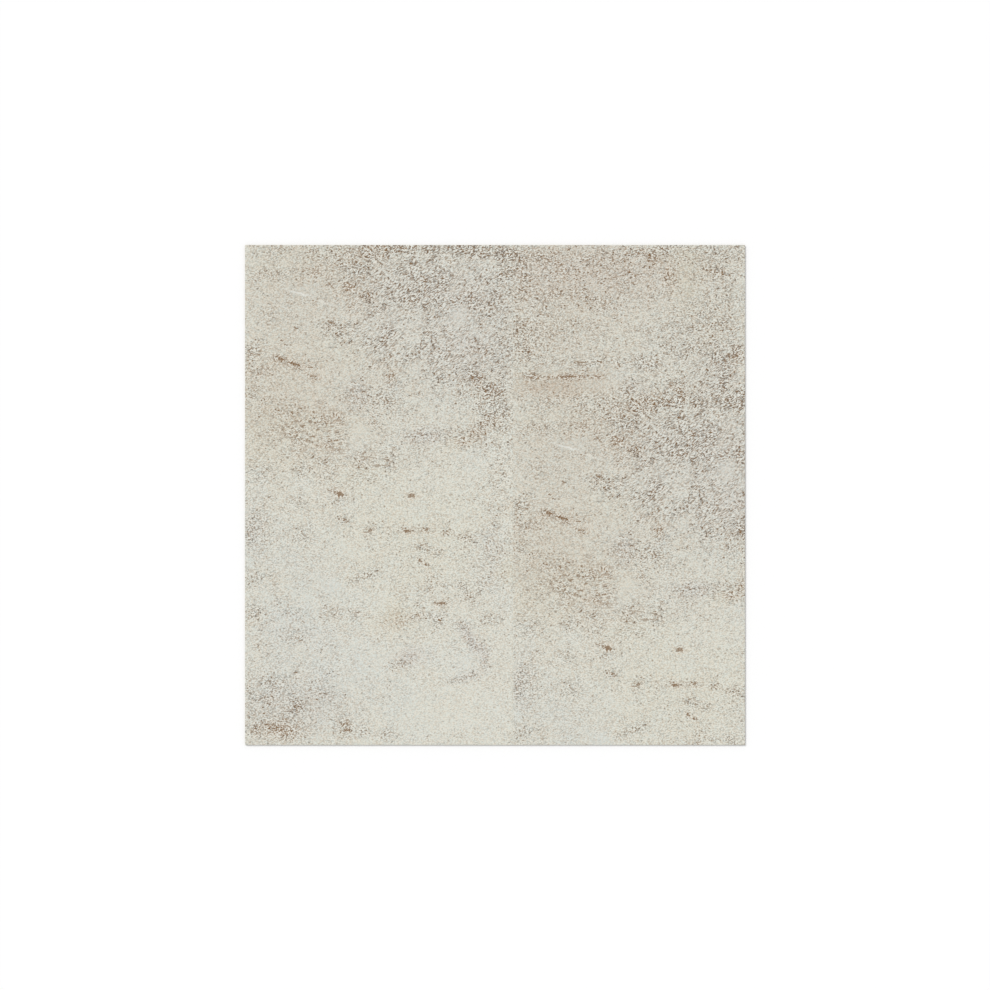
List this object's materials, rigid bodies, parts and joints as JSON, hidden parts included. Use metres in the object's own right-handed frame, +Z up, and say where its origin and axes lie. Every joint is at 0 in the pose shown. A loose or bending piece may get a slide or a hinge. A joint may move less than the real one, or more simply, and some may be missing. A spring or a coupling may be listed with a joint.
{
  "type": "vinyl floor tile",
  "caption": "Square glue-down vinyl floor tile with a stone-look face, an eased rim and one straight joint pressed across the face.",
  "frame": {"origin": "middle of the glued back, in the plane the tile lies on", "axes": "+Z up through the wear face, +X across the pressed joint towards the narrower panel, +Y along the joint, which is up in the picture"},
  "size_m": [0.61, 0.61, 0.003],
  "materials": {
    "printed_vinyl": "warm off-white stone-look print under a matt embossed wear surface, plain warm grey cut edges and back"
  },
  "bodies": {
    "root": {"tile": "printed_vinyl"}
  },
  "joints": []
}
